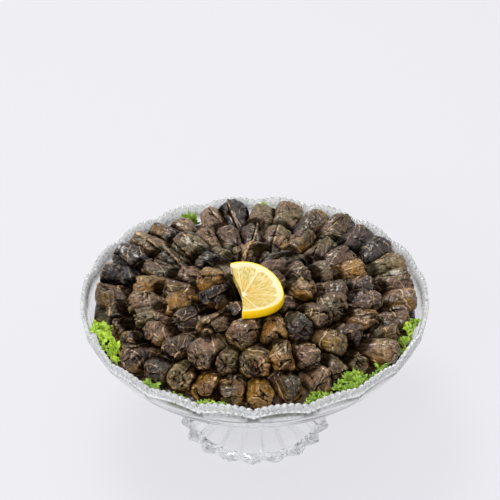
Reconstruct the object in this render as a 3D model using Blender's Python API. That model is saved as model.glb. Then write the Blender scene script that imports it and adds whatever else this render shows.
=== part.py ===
"""Dolma heaped in a footed crystal bowl, with a half slice of lemon and green leaves.

Units are metres and +Z is up. The origin is on the table, on the bowl's axis, and the
front of the bowl faces -Y. The bowl has twenty scallops round its toothed rim, so a
cusp between two scallops lies at every multiple of 18 degrees.
"""
import math
import random

import bmesh
import bpy
from mathutils import Vector

MM = 0.001
GOLDEN_TURN = 2.399963

# Rim of the bowl
RIM_RADIUS = 140 * MM
RIM_HEIGHT = 121.9 * MM
SCALLOPS = 20
SCALLOP_RISE = 4.2 * MM
TEETH_PER_SCALLOP = 8
TOOTH_DEPTH = 1.5 * MM
TOOTH_RELIEF = 0.9 * MM
CREST_WIDTH = 3.4 * MM
RIM_COLUMNS = 2 * TEETH_PER_SCALLOP * SCALLOPS
BAND_COLUMNS = 4 * SCALLOPS
WALL_COLUMNS = 2 * SCALLOPS

# Turned profile of the wall, as (radius, height) from the band under the teeth downwards
BAND_OUTSIDE = (138.6 * MM, 112.2 * MM)
LEDGE_OUTSIDE = (136.2 * MM, 108.4 * MM)
WALL_OUTSIDE = ((131.0, 100.6), (124.0, 92.4), (114.5, 83.2), (103.0, 74.2), (89.0, 65.4),
                (72.0, 57.8), (50.0, 51.4), (27.0, 48.2))
BAND_INSIDE = (134.0 * MM, 113.0 * MM)
BAND_INSIDE_SCALLOP = 0.3
WALL_INSIDE = ((129.0, 104.0), (118.5, 92.4), (105.5, 81.8), (88.0, 71.4), (66.0, 62.8),
               (36.0, 57.6))

# Foot: eighteen flat petals that flare to pointed tips, hollow underneath
PETALS = 18
FIRST_TIP = math.radians(-92.4)
FOOT_OUTSIDE = ((61.6, 56.0, 0.0), (61.6, 56.0, 3.2), (56.4, 54.4, 8.6), (46.2, 44.8, 13.8),
                (36.6, 35.4, 20.2), (30.2, 29.2, 27.6), (26.6, 25.8, 36.0), (25.4, 24.8, 44.0),
                (24.0, 24.0, 53.0))
FOOT_INSIDE = ((48.0, 0.0), (43.0, 4.4), (33.0, 10.4), (24.0, 17.2), (15.0, 24.6))

# Heap: a core that fills the bowl, and rolls laid on it like spokes in rings
GLASS_GAP = 0.6 * MM
CORE_EDGE = (129.6 * MM, 107.6 * MM)
CORE_TOP = ((127.0, 111.0), (119.0, 114.0), (99.0, 117.0), (78.0, 122.0), (58.0, 127.0),
            (36.0, 130.5), (14.0, 132.5))
ROLL_SIDES = 8
ROLL_RADIUS = 11.2 * MM
ROLL_LENGTH = 40 * MM
# Places along a roll from its outer end, each with the share of its radius
ROLL_STATIONS = ((0.0, 0.66), (0.1, 1.0), (0.6, 1.0), (1.0, 0.66))
# How the rolls differ: shares of their size, and how they are turned and moved from even places
WIDTH_SHARE = (0.98, 1.1)
HEIGHT_SHARE = (0.88, 1.0)
STATION_SHARE = (0.96, 1.04)
LENGTH_SHARE = (0.88, 1.08)
RADIUS_SHARE = (0.9, 1.1)
PITCH_SHARE = 0.12
LIFT_DEGREES = (11, 25)
SWING_DEGREES = 12
REACH_JITTER = 1.5 * MM
RISE_JITTER = 2.2 * MM
ROLL_RINGS = ((33, 128.5, 122.5), (26, 100.5, 128.5), (18, 74.0, 134.5), (11, 48.0, 138.0))
TOP_ROLLS = ((-19.0, 4.0, 141.0, 1.9), (4.0, -5.0, 142.5, 0.1), (21.0, 16.0, 141.0, 0.7),
             (-2.0, 27.0, 140.0, 1.3))
# At the back the inner rings lie further in and lower, and the rolls are flatter and longer
BACK_SHIFTS = (0.0, 10.0, 18.0, 14.0)
BACK_DROPS = (0.0, 3.0, 5.0, 5.0)
BACK_LIFT_LESS = 0.55
BACK_LENGTH_MORE = 0.15
SINGLE_LEAF_ROOM = 6.0 * MM
DOUBLE_LEAF_ROOM = 10.5 * MM
LEAF_ROOM_MARGIN = 3
LEFT_ROOM = 3.0 * MM
LEMON_ROOM = 0.8 * MM
LEMON_LIFT_LIMIT = 5.0 * MM
# Points round a roll, in degrees from its top and steps along it, that are tested against the slice
PROBE_TURNS = range(-75, 76, 15)
PROBE_STEPS = 5
PROBE_SWELL = 1.06

# Half slice of lemon, folded across its middle over the top of the heap
LEMON_CORE = Vector((-9.0, -33.0, 149.5)) * MM
LEMON_RADIUS = 33 * MM
LEMON_THICKNESS = 7 * MM
LEMON_SPAN = (math.radians(-90), math.radians(108))
LEMON_BACK_SLOPE = math.tan(math.radians(25))
LEMON_FRONT_SLOPE = math.tan(math.radians(15))
LEMON_FOLD_WIDTH = 8 * MM
LEMON_ARCS = 18
LEMON_RING_SHARES = (1.0, 0.66, 0.33)

# Leaves between the rolls and the glass: name, middle and width in degrees, height, layers
LEAF_THICKNESS = 1.4 * MM
LEAF_BASE_RADIUS = 128.0 * MM
LEAF_LAYER_STEP = 5.6 * MM
LEAF_LEAN = 0.3
INNER_LEAN_SHARE = 0.3
INNER_WIDTH_SHARE = 0.8
LEAF_WAVE = 1.5 * MM
LEAF_WAVES_PER_TURN = 95
LEAF_FOOT_GAP = 1.2 * MM
LEAF_ROWS = 3
LEAF_COLUMNS_PER_DEGREE = 0.6
LEAF_LEAST_COLUMNS = 6
LEAVES = (
    ("leaf_left", 201, 24, 15.0, 2),
    ("leaf_front_left", 232, 8, 12.0, 1),
    ("leaf_front_small", 244, 7, 11.0, 1),
    ("leaf_front", 256, 13, 12.0, 1),
    ("leaf_front_right", 293, 12, 13.0, 1),
    ("leaf_right_front", 307, 15, 14.0, 2),
    ("leaf_right_small", 320, 9, 12.0, 1),
    ("leaf_right", 343, 20, 15.0, 1),
    ("leaf_back_left", 116, 7, 15.0, 1),
    ("leaf_back", 87, 7, 16.0, 1),
)


def clear_scene():
    for item in list(bpy.data.objects):
        bpy.data.objects.remove(item, do_unlink=True)


def new_material(name, colour, roughness, transmission=0.0):
    material = bpy.data.materials.new(name)
    material.use_nodes = True
    shader = material.node_tree.nodes["Principled BSDF"]
    shader.inputs["Base Color"].default_value = (*colour, 1.0)
    shader.inputs["Roughness"].default_value = roughness
    shader.inputs["Transmission Weight"].default_value = transmission
    return material


def object_from(bm, name, material=None, collection=None):
    """Turn a bmesh into an object with its faces pointing out."""
    bmesh.ops.recalc_face_normals(bm, faces=bm.faces[:])
    mesh = bpy.data.meshes.new(name)
    bm.to_mesh(mesh)
    bm.free()
    if material:
        mesh.materials.append(material)
    item = bpy.data.objects.new(name, mesh)
    (collection or bpy.context.scene.collection).objects.link(item)
    return item


def ring(bm, count, radius_at, height_at, turn=0.0):
    """A closed ring of vertices whose radius and height may follow the angle."""
    angles = [turn + math.tau * i / count for i in range(count)]
    return [bm.verts.new((radius_at(i, a) * math.cos(a), radius_at(i, a) * math.sin(a), height_at(i, a)))
            for i, a in enumerate(angles)]


def plain_ring(bm, count, radius, height):
    return ring(bm, count, lambda i, a: radius, lambda i, a: height)


def bridge(bm, fine, coarse):
    """Join two rings whose counts divide, fanning each coarse corner to the nearest fine ones."""
    step = len(fine) // len(coarse)
    half = step // 2
    for i, corner in enumerate(coarse):
        following = coarse[(i + 1) % len(coarse)]
        points = [fine[(i * step + j) % len(fine)] for j in range(step + 1)]
        if step == 1:
            bm.faces.new((points[0], points[1], following, corner))
            continue
        for j in range(step):
            bm.faces.new((points[j], points[j + 1], corner if j < half else following))
        bm.faces.new((corner, points[half], following))


def scallop(angle):
    """Height of the rim's wave above its cusps: nought at a cusp, full in mid scallop."""
    part = (math.degrees(angle) * SCALLOPS / 360) % 1.0
    across = 2 * part - 1
    return SCALLOP_RISE * (1 - across * across)


def is_tooth(index):
    return index % 2 == 1


def make_bowl_body():
    bm = bmesh.new()
    crest_outside = ring(
        bm, RIM_COLUMNS,
        lambda i, a: RIM_RADIUS - (0 if is_tooth(i) else TOOTH_RELIEF),
        lambda i, a: RIM_HEIGHT + scallop(a) - (0 if is_tooth(i) else TOOTH_DEPTH))
    crest_inside = ring(
        bm, RIM_COLUMNS,
        lambda i, a: RIM_RADIUS - CREST_WIDTH,
        lambda i, a: RIM_HEIGHT + scallop(a) - (0 if is_tooth(i) else TOOTH_DEPTH))
    bridge(bm, crest_outside, crest_inside)

    band_radius, band_height = BAND_OUTSIDE
    band = ring(bm, BAND_COLUMNS, lambda i, a: band_radius, lambda i, a: band_height + scallop(a))
    ledge = plain_ring(bm, BAND_COLUMNS, *LEDGE_OUTSIDE)
    bridge(bm, crest_outside, band)
    bridge(bm, band, ledge)
    lowest = wall_down(bm, ledge, WALL_OUTSIDE)
    bm.faces.new(lowest)

    band_radius, band_height = BAND_INSIDE
    band = ring(bm, BAND_COLUMNS, lambda i, a: band_radius, lambda i, a: band_height + BAND_INSIDE_SCALLOP * scallop(a))
    bridge(bm, crest_inside, band)
    lowest = wall_down(bm, band, WALL_INSIDE)
    bm.faces.new(lowest)
    return object_from(bm, "glass_bowl")


def wall_down(bm, upper, profile):
    """Carry a ring down a turned profile given in millimetres and return the lowest ring."""
    for radius, height in profile:
        lower = plain_ring(bm, WALL_COLUMNS, radius * MM, height * MM)
        bridge(bm, upper, lower)
        upper = lower
    return upper


def make_foot():
    """A skirt of flat petals: odd columns are the petals' tips, even ones the grooves."""
    bm = bmesh.new()
    columns = 2 * PETALS
    start = FIRST_TIP - math.tau / columns
    upper = None
    for tip, groove, height in FOOT_OUTSIDE:
        lower = ring(bm, columns, lambda i, a: (tip if i % 2 else groove) * MM,
                     lambda i, a: height * MM, start)
        if upper is None:
            base = lower
        else:
            bridge(bm, upper, lower)
        upper = lower
    bm.faces.new(upper)
    upper = base
    for radius, height in FOOT_INSIDE:
        lower = ring(bm, columns, lambda i, a: radius * MM, lambda i, a: height * MM, start)
        bridge(bm, upper, lower)
        upper = lower
    bm.faces.new(upper)
    return object_from(bm, "foot")


def join_union(target, parts, solver):
    """Fuse a collection of objects to the target and remove them."""
    modifier = target.modifiers.new("join", "BOOLEAN")
    modifier.operation = "UNION"
    modifier.operand_type = "COLLECTION"
    modifier.collection = parts
    modifier.solver = solver
    bpy.context.view_layer.objects.active = target
    bpy.ops.object.modifier_apply(modifier=modifier.name)
    for item in list(parts.objects):
        bpy.data.objects.remove(item, do_unlink=True)
    bpy.data.collections.remove(parts)


def keep_outer_shell(item):
    """Keep the largest connected shell, so that sealed hollows fill and loose scraps go."""
    bm = bmesh.new()
    bm.from_mesh(item.data)
    unseen = set(bm.verts)
    shells = []
    while unseen:
        stack = [unseen.pop()]
        shell = list(stack)
        while stack:
            for edge in stack.pop().link_edges:
                for vert in edge.verts:
                    if vert in unseen:
                        unseen.remove(vert)
                        stack.append(vert)
                        shell.append(vert)
        shells.append(shell)
    shells.sort(key=len)
    for shell in shells[:-1]:
        bmesh.ops.delete(bm, geom=shell, context="VERTS")
    bm.to_mesh(item.data)
    bm.free()


def part_collection(name):
    parts = bpy.data.collections.new(name)
    bpy.context.scene.collection.children.link(parts)
    return parts


def make_glass_bowl():
    """Bowl and foot are pressed from one piece of glass."""
    bowl = make_bowl_body()
    foot = make_foot()
    parts = part_collection("foot parts")
    bpy.context.scene.collection.objects.unlink(foot)
    parts.objects.link(foot)
    join_union(bowl, parts, "EXACT")
    keep_outer_shell(bowl)
    bowl.data.materials.clear()
    bowl.data.materials.append(new_material("pressed crystal glass", (0.93, 0.94, 0.94), 0.03, 1.0))
    return bowl


def leaf_push(angle):
    """How far the rolls of the outer ring are pushed in where a leaf stands before them."""
    push = 0.0
    for name, middle, width, height, layers in LEAVES:
        apart = abs((math.degrees(angle) - middle + 180) % 360 - 180)
        if apart < width / 2 + LEAF_ROOM_MARGIN:
            push = max(push, SINGLE_LEAF_ROOM if layers == 1 else DOUBLE_LEAF_ROOM)
    return push


def core_top_at(radius):
    """Height of the core's top at a radius, read from its profile."""
    points = [CORE_EDGE] + [(r * MM, z * MM) for r, z in CORE_TOP]
    for outer, inner in zip(points, points[1:]):
        if radius >= inner[0]:
            part = min(1.0, (outer[0] - radius) / (outer[0] - inner[0]))
            return outer[1] + (inner[1] - outer[1]) * part
    return points[-1][1]


def make_core():
    """The inside of the heap: it follows the glass below and a low dome above."""
    bm = bmesh.new()
    edge = plain_ring(bm, WALL_COLUMNS, *CORE_EDGE)
    upper = edge
    for radius, height in WALL_INSIDE:
        lower = plain_ring(bm, WALL_COLUMNS, radius * MM - GLASS_GAP, height * MM + GLASS_GAP)
        bridge(bm, upper, lower)
        upper = lower
    bm.faces.new(upper)
    upper = edge
    for radius, height in CORE_TOP:
        lower = plain_ring(bm, WALL_COLUMNS, radius * MM, height * MM)
        bridge(bm, upper, lower)
        upper = lower
    bm.faces.new(upper)
    return object_from(bm, "dolma_heap")


def roll_frame(direction):
    """Unit vectors along a roll, across it and up from it."""
    axis = direction.normalized()
    side = axis.cross(Vector((0, 0, 1))).normalized()
    return axis, side, side.cross(axis)


def add_roll(parts, rng, name, outer_end, direction, length, radius):
    """One rolled leaf parcel: a squashed barrel that runs from its outer end along a direction."""
    axis, side, up = roll_frame(direction)
    wide = rng.uniform(*WIDTH_SHARE)
    high = rng.uniform(*HEIGHT_SHARE)
    bm = bmesh.new()
    previous = None
    for part, swell in ROLL_STATIONS:
        centre = outer_end + axis * (length * part)
        swell_here = radius * swell * rng.uniform(*STATION_SHARE)
        corners = []
        for i in range(ROLL_SIDES):
            angle = math.tau * (i + 0.5) / ROLL_SIDES
            across = side * (math.cos(angle) * wide) + up * (math.sin(angle) * high)
            corners.append(bm.verts.new(centre + across * swell_here))
        if previous:
            bridge(bm, previous, corners)
        else:
            bm.faces.new(corners)
        previous = corners
    bm.faces.new(previous)
    return object_from(bm, name, collection=parts)


def make_dolma_heap():
    """Rolls lie like spokes in four rings, outer ends a little raised, and a few on top."""
    rng = random.Random(7)
    core = make_core()
    parts = part_collection("rolls")
    for number, (count, end_radius, height) in enumerate(ROLL_RINGS):
        for i in range(count):
            angle = math.tau * (i + 0.5 * (number % 2) + rng.uniform(-PITCH_SHARE, PITCH_SHARE)) / count
            back = math.sqrt(max(0.0, math.sin(angle)))
            reach = (end_radius - BACK_SHIFTS[number] * back) * MM
            reach += rng.uniform(-REACH_JITTER, REACH_JITTER)
            if number == 0:
                reach -= leaf_push(angle) + LEFT_ROOM * max(0.0, -math.cos(angle)) ** 2
            lift = math.radians(rng.uniform(*LIFT_DEGREES)) * (1 - BACK_LIFT_LESS * back)
            swing = angle + math.radians(rng.uniform(-SWING_DEGREES, SWING_DEGREES))
            end_height = (height - BACK_DROPS[number] * back) * MM
            end_height += rng.uniform(-RISE_JITTER, RISE_JITTER)
            outer_end = Vector((reach * math.cos(angle), reach * math.sin(angle), end_height))
            inwards = Vector((-math.cos(swing), -math.sin(swing), -math.tan(lift)))
            length = ROLL_LENGTH * rng.uniform(*LENGTH_SHARE) * (1 + BACK_LENGTH_MORE * back)
            radius = ROLL_RADIUS * rng.uniform(*RADIUS_SHARE)
            outer_end.z += room_under_lemon(outer_end, inwards, length, radius)
            add_roll(parts, rng, f"roll {number} {i}", outer_end, inwards, length, radius)
    for i, (x, y, height, heading) in enumerate(TOP_ROLLS):
        along = Vector((math.cos(heading), math.sin(heading), 0.0))
        end = Vector((x, y, height)) * MM - along * ROLL_LENGTH / 2
        end.z += room_under_lemon(end, along, ROLL_LENGTH, ROLL_RADIUS)
        add_roll(parts, rng, f"top roll {i}", end, along, ROLL_LENGTH, ROLL_RADIUS)
    join_union(core, parts, "MANIFOLD")
    keep_outer_shell(core)
    core.data.materials.clear()
    core.data.materials.append(new_material("stuffed vine leaf", (0.055, 0.036, 0.02), 0.45))
    return core


def fold_rise(across):
    """How high the slice's middle has risen at a distance across the fold, seen from above."""
    slope = LEMON_BACK_SLOPE if across > 0 else LEMON_FRONT_SLOPE
    return slope * (math.hypot(across, LEMON_FOLD_WIDTH) - LEMON_FOLD_WIDTH)


def lemon_point(distance, angle, depth):
    """A point of the folded slice: both wings rise from the fold, which runs along X."""
    along = distance * math.cos(angle)
    across = distance * math.sin(angle)
    across *= math.cos(math.atan(LEMON_BACK_SLOPE if across > 0 else LEMON_FRONT_SLOPE))
    return LEMON_CORE + Vector((along, across, fold_rise(across) + depth))


def room_under_lemon(start, direction, length, radius):
    """How far a roll moves, down or a little up, so that the slice rests just above it."""
    axis, side, up = roll_frame(direction)
    room = None
    for step in range(PROBE_STEPS + 1):
        for turn in PROBE_TURNS:
            out = side * math.sin(math.radians(turn)) + up * math.cos(math.radians(turn))
            point = start + axis * (length * step / PROBE_STEPS) + out * radius * PROBE_SWELL
            along, across = point.x - LEMON_CORE.x, point.y - LEMON_CORE.y
            if math.hypot(along, across) < LEMON_RADIUS + LEMON_ROOM and along > -LEMON_RADIUS / 3:
                underside = LEMON_CORE.z + fold_rise(across) - LEMON_THICKNESS / 2 - LEMON_ROOM
                gap = underside - point.z
                room = gap if room is None else min(room, gap)
    return 0.0 if room is None else min(room, LEMON_LIFT_LIMIT)


def make_lemon_slice():
    start, end = LEMON_SPAN
    angles = [start + (end - start) * i / LEMON_ARCS for i in range(LEMON_ARCS + 1)]
    bm = bmesh.new()
    faces = []
    for depth in (-LEMON_THICKNESS / 2, LEMON_THICKNESS / 2):
        centre = bm.verts.new(lemon_point(0, 0, depth))
        rows = [[bm.verts.new(lemon_point(LEMON_RADIUS * share, a, depth)) for a in angles]
                for share in LEMON_RING_SHARES]
        faces.append((centre, rows))
        for outer, inner in zip(rows, rows[1:]):
            for i in range(LEMON_ARCS):
                bm.faces.new((outer[i], outer[i + 1], inner[i + 1]))
                bm.faces.new((outer[i], inner[i + 1], inner[i]))
        for i in range(LEMON_ARCS):
            bm.faces.new((rows[-1][i], rows[-1][i + 1], centre))
    (low_centre, low_rows), (high_centre, high_rows) = faces
    low_edge = [row[0] for row in low_rows[::-1]] + low_rows[0][1:] + [row[-1] for row in low_rows[1:]]
    high_edge = [row[0] for row in high_rows[::-1]] + high_rows[0][1:] + [row[-1] for row in high_rows[1:]]
    bridge(bm, [low_centre] + low_edge, [high_centre] + high_edge)
    item = object_from(bm, "lemon_slice")
    item.data.materials.append(new_material("lemon flesh and rind", (0.86, 0.62, 0.09), 0.35))
    return item


def leaf_crown(part, phase):
    """Outline of a leaf along its width: lower towards both ends, with a slow ripple."""
    return math.sin(math.pi * (0.12 + 0.76 * part)) + 0.12 * math.sin(9 * part + phase)


def leaf_wave(angle, height_part, phase):
    """How far a leaf's wave stands out, which grows towards its upper edge."""
    return LEAF_WAVE * height_part * math.sin(LEAF_WAVES_PER_TURN * angle + phase)


def make_leaf(name, middle, width, height, layer, material):
    """A thin wavy sheet that stands along the glass; both faces have the same triangles."""
    columns = max(LEAF_LEAST_COLUMNS, round(width * LEAF_COLUMNS_PER_DEGREE))
    base_radius = LEAF_BASE_RADIUS - layer * LEAF_LAYER_STEP
    base_height = core_top_at(base_radius) + LEAF_FOOT_GAP
    phase = GOLDEN_TURN * middle + layer
    bm = bmesh.new()
    grids = []
    for side in (-1, 1):
        grid = []
        for row in range(LEAF_ROWS + 1):
            line = []
            for column in range(columns + 1):
                part = column / columns
                angle = math.radians(middle + width * (part - 0.5))
                rise = height * MM * (row / LEAF_ROWS) * leaf_crown(part, phase)
                lean = LEAF_LEAN * rise * (1 if layer == 0 else INNER_LEAN_SHARE)
                wave = leaf_wave(angle, row / LEAF_ROWS, phase)
                radius = base_radius + lean + wave + side * LEAF_THICKNESS / 2
                line.append(bm.verts.new((radius * math.cos(angle), radius * math.sin(angle), base_height + rise)))
            grid.append(line)
        grids.append(grid)
        for low, high in zip(grid, grid[1:]):
            for i in range(columns):
                bm.faces.new((low[i], low[i + 1], high[i + 1]))
                bm.faces.new((low[i], high[i + 1], high[i]))
    inner, outer = [outline(grid) for grid in grids]
    bridge(bm, inner, outer)
    item = object_from(bm, name)
    item.data.materials.append(material)
    return item


def outline(grid):
    """The border of a grid of vertices as one closed ring."""
    right = [row[-1] for row in grid[1:-1]]
    left = [row[0] for row in grid[1:-1]]
    return grid[0] + right + grid[-1][::-1] + left[::-1]


def make_leaves():
    for name, middle, width, height, layers in LEAVES:
        material = new_material(name.replace("_", " "), (0.2, 0.42, 0.03), 0.5)
        for layer in range(layers):
            suffix = "" if layer == 0 else "_inner"
            layer_width = width * INNER_WIDTH_SHARE ** layer
            make_leaf(name + suffix, middle, layer_width, height, layer, material)


clear_scene()
make_glass_bowl()
make_dolma_heap()
make_lemon_slice()
make_leaves()
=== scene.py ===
# %% [markdown]
# # Dolma in a footed crystal bowl
#
# A heap of stuffed vine leaf rolls lies like the spokes of a wheel in a pressed glass bowl. A half slice of
# lemon is folded over the top and curly lettuce stands between the rolls and the glass. The plain solids
# come first, because they fix every size and place, and each one is then dressed with the finely shaped
# piece that stands for it.

# %% Load the plain solids
import math
import random
from contextlib import contextmanager

import bpy
import numpy as np
from mathutils import Matrix, Vector, noise


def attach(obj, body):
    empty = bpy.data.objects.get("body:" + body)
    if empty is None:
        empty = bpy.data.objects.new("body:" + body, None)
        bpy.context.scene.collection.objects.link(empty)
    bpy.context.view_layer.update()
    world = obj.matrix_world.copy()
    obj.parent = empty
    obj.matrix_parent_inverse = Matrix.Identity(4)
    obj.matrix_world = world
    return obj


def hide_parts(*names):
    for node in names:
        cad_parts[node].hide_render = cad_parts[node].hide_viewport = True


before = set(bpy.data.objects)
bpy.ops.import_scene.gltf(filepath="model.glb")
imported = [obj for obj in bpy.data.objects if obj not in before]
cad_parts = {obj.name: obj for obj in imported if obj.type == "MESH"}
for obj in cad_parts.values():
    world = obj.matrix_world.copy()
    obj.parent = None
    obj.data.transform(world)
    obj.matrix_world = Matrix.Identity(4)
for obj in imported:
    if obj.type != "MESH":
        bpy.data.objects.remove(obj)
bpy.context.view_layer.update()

MM = 0.001
print("nodes:", sorted(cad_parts))

# %% [markdown]
# ## Camera
#
# The photograph looks down at the bowl by about 36 degrees from two and a half metres, through a long lens.
# The camera was fitted to points on the rim and on the tips of the foot. Its place and its three axes are
# given directly, because a matrix leaves no doubt about the small roll of the picture.

# %% Camera
camera_data = bpy.data.cameras.new("camera")
camera_data.sensor_width = 36.0
camera_data.lens = 222.8
camera_data.shift_y = -0.0032
camera = bpy.data.objects.new("camera", camera_data)
bpy.context.scene.collection.objects.link(camera)
right = (0.99995735, 0.00743846, -0.00547404)
above = (-1.903e-05, 0.59437087, 0.80419106)
backward = (0.00923556, -0.80415666, 0.59434566)
place = (0.01931619, -1.97368836, 1.63221388)
camera.matrix_world = Matrix([*zip(right, above, backward, place), (0, 0, 0, 1)])
bpy.context.scene.camera = camera
bpy.context.scene.view_settings.view_transform = "Standard"
# Light turns back many times inside thick pressed glass, and would end in black lines if it were cut short
bpy.context.scene.cycles.max_bounces = 40
bpy.context.scene.cycles.transmission_bounces = 40
bpy.context.scene.cycles.glossy_bounces = 16
print("camera stands", round(Vector(place).length, 2), "m away")

# %% [markdown]
# ## One function for colours and one for nodes
#
# Colours are read off as sRGB hex values, and a shader wants them linear, so one function turns them. Every
# material is a small tree of nodes. One function adds a node with its settings and inputs, so that a
# material reads from top to bottom like a recipe: an input is a number, a colour, or the node that feeds
# it.

# %% Colour and node helpers
def linear(code):
    """An sRGB hex colour such as #5f5044 as the linear RGBA that a shader uses."""
    parts = [int(code[i:i + 2], 16) / 255 for i in (1, 3, 5)]
    return (*[p / 12.92 if p <= 0.04045 else ((p + 0.055) / 1.055) ** 2.4 for p in parts], 1.0)


# The output that a link takes from a node, where it isn't the first
USUAL_OUTPUTS = {"ShaderNodeMix": 2, "ShaderNodeTexCoord": "Object", "ShaderNodeAttribute": "Fac",
                 "ShaderNodeTexWave": "Fac"}


def node(tree, kind, inputs=None, **settings):
    """Add one shader node, set it up and set or link its inputs."""
    made = tree.nodes.new("ShaderNode" + kind)
    for name, value in settings.items():
        setattr(made, name, value)
    for socket, value in (inputs or {}).items():
        if isinstance(value, bpy.types.Node):
            value = value.outputs[USUAL_OUTPUTS.get(value.bl_idname, 0)]
        if isinstance(value, bpy.types.NodeSocket):
            tree.links.new(value, made.inputs[socket])
        else:
            made.inputs[socket].default_value = linear(value) if isinstance(value, str) else value
    return made


def new_material(name):
    """An empty material and its tree of nodes."""
    material = bpy.data.materials.new(name)
    material.use_nodes = True
    material.node_tree.nodes.clear()
    return material, material.node_tree


# %% [markdown]
# ## Floor and light
#
# The bowl stands on a plain pale surface in soft white light, with hardly a shadow. A pale world, darker
# towards its horizon, lights it from all round and gives the glass its grey edges. A wide lamp overhead and
# one in front give the moist leaves their broad grey sheen.

# %% Floor
bpy.ops.object.select_all(action="DESELECT")
bpy.ops.mesh.primitive_grid_add(x_subdivisions=8, y_subdivisions=8, size=9.0, location=(0, 1.0, -0.0004))
floor = bpy.context.object
floor.name = "floor"
floor_paint, tree = new_material("matt white paper floor")
paper = node(tree, "BsdfPrincipled", {"Base Color": "#5a5a5c", "Roughness": 0.9, "Emission Color": "#f6f5fa",
                                      "Emission Strength": 0.755})
node(tree, "OutputMaterial", {"Surface": paper})
floor.data.materials.append(floor_paint)

# %% Light
world = bpy.data.worlds.new("pale tent")
world.use_nodes = True
tree = world.node_tree
sky_place = node(tree, "TexCoord")
sky_parts = node(tree, "SeparateXYZ", {0: sky_place.outputs["Generated"]})
brighter_up = node(tree, "MapRange", {"Value": sky_parts.outputs["Z"], "From Min": 0.05, "From Max": 0.9,
                                      "To Min": 0.72, "To Max": 0.82})
background = tree.nodes["Background"]
background.inputs["Color"].default_value = linear("#f4f5f9")
tree.links.new(brighter_up.outputs[0], background.inputs["Strength"])
bpy.context.scene.world = world
LAMP_TARGET = Vector((0, 0, 0.1))


def soft_lamp(name, place, size, power, colour):
    """A square lamp that faces the bowl."""
    data = bpy.data.lights.new(name, "AREA")
    data.size = size
    data.energy = power
    data.color = linear(colour)[:3]
    lamp = bpy.data.objects.new(name, data)
    bpy.context.scene.collection.objects.link(lamp)
    lamp.location = place
    lamp.rotation_euler = (LAMP_TARGET - Vector(place)).to_track_quat("-Z", "Y").to_euler()


soft_lamp("overhead softbox", (-0.35, 0.45, 1.5), 0.6, 15.0, "#fffdf8")
soft_lamp("front softbox", (-0.6, -1.5, 1.15), 0.5, 12.0, "#ffffff")

# %% [markdown]
# ## Working by hand with operators
#
# Each piece starts from a primitive that is shaped in edit mode. Operators act on whatever is selected, and
# the loaded solids arrive selected, so each start deselects everything, and a piece is opened with just
# those parts selected that pass a test of their place or direction. A turned form, such as a bowl, is a
# circle that is extruded and resized ring by ring along its profile. The rings keep their order, so later a
# mould can press its pattern into a chosen ring by number.

# %% Choosing and editing a piece
def choose(*items):
    """Select just these objects and make the first one active."""
    bpy.ops.object.select_all(action="DESELECT")
    for item in items:
        item.select_set(True)
    bpy.context.view_layer.objects.active = items[0]


@contextmanager
def editing(item, kind="VERT", wanted=None):
    """Edit mode with all of a piece selected, or just the vertices, edges or faces that pass a test."""
    choose(item)
    bpy.ops.object.mode_set(mode="EDIT")
    bpy.ops.mesh.select_mode(type=kind)
    bpy.ops.mesh.select_all(action="DESELECT" if wanted else "SELECT")
    if wanted:
        bpy.ops.object.mode_set(mode="OBJECT")
        for part in {"VERT": item.data.vertices, "EDGE": item.data.edges, "FACE": item.data.polygons}[kind]:
            part.select = wanted(part)
        bpy.ops.object.mode_set(mode="EDIT")
    yield
    bpy.ops.object.mode_set(mode="OBJECT")


def face_outwards(item):
    """Turn every face of a closed piece to point out."""
    with editing(item):
        bpy.ops.mesh.normals_make_consistent(inside=False)


def smooth_below(item, degrees):
    """Shade a piece smooth, but keep edges sharper than an angle crisp."""
    choose(item)
    bpy.ops.object.shade_smooth_by_angle(angle=math.radians(degrees))


def join_pieces(pieces, name):
    """Join pieces into the first one and name it."""
    choose(*pieces)
    bpy.ops.object.join()
    pieces[0].name = pieces[0].data.name = name
    return pieces[0]


# %% Turning a form
def on_rings(*rings):
    """A test for the vertices of turned rings, each given by its radius and height in millimetres."""
    def wanted(vertex):
        out, up = vertex.co.xy.length / MM, vertex.co.z / MM
        return any(abs(up - height) < 0.001 and out < radius + 0.5 for radius, height in rings)
    return wanted


def turn_form(name, columns, profile, cap_first=False, cap_last=False):
    """A circle extruded down a profile of (radius, height) points in millimetres."""
    bpy.ops.object.select_all(action="DESELECT")
    radius, height = profile[0][:2]
    bpy.ops.mesh.primitive_circle_add(vertices=columns, radius=radius * MM, location=(0, 0, height * MM))
    item = bpy.context.object
    item.name = item.data.name = name
    bpy.ops.object.transform_apply(location=True, rotation=True, scale=True)
    with editing(item):
        for before, after in zip(profile, profile[1:]):
            rise = (after[1] - before[1]) * MM
            bpy.ops.mesh.extrude_region_move(TRANSFORM_OT_translate={"value": (0, 0, rise)})
            part = after[0] / before[0]
            bpy.ops.transform.resize(value=(part, part, 1), center_override=(0, 0, after[1] * MM))
        if cap_last:
            bpy.ops.mesh.edge_face_add()
    if cap_first:
        with editing(item, "VERT", on_rings((radius, height))):
            bpy.ops.mesh.edge_face_add()
    return item


def eased(points, steps):
    """A smooth run of points through the given ones, which a turned wall follows without corners."""
    run = []
    ends = [points[0], *points, points[-1]]
    for a, b, c, d in zip(ends, ends[1:], ends[2:], ends[3:]):
        for step in range(steps):
            t = step / steps
            run.append(tuple(0.5 * (2 * q + (r - p) * t + (2 * p - 5 * q + 4 * r - s) * t * t
                                    + (3 * q - p - 3 * r + s) * t ** 3)
                             for p, q, r, s in zip(a, b, c, d)))
    run.append(tuple(points[-1]))
    return run


# %% Moving all vertices at once, and masks for the materials
def places_of(item):
    """The places of all vertices as an array of rows."""
    places = np.empty(len(item.data.vertices) * 3)
    item.data.vertices.foreach_get("co", places)
    return places.reshape(-1, 3)


def set_places(item, places):
    """Move all vertices to new places."""
    item.data.vertices.foreach_set("co", places.ravel())
    item.data.update()


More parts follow.
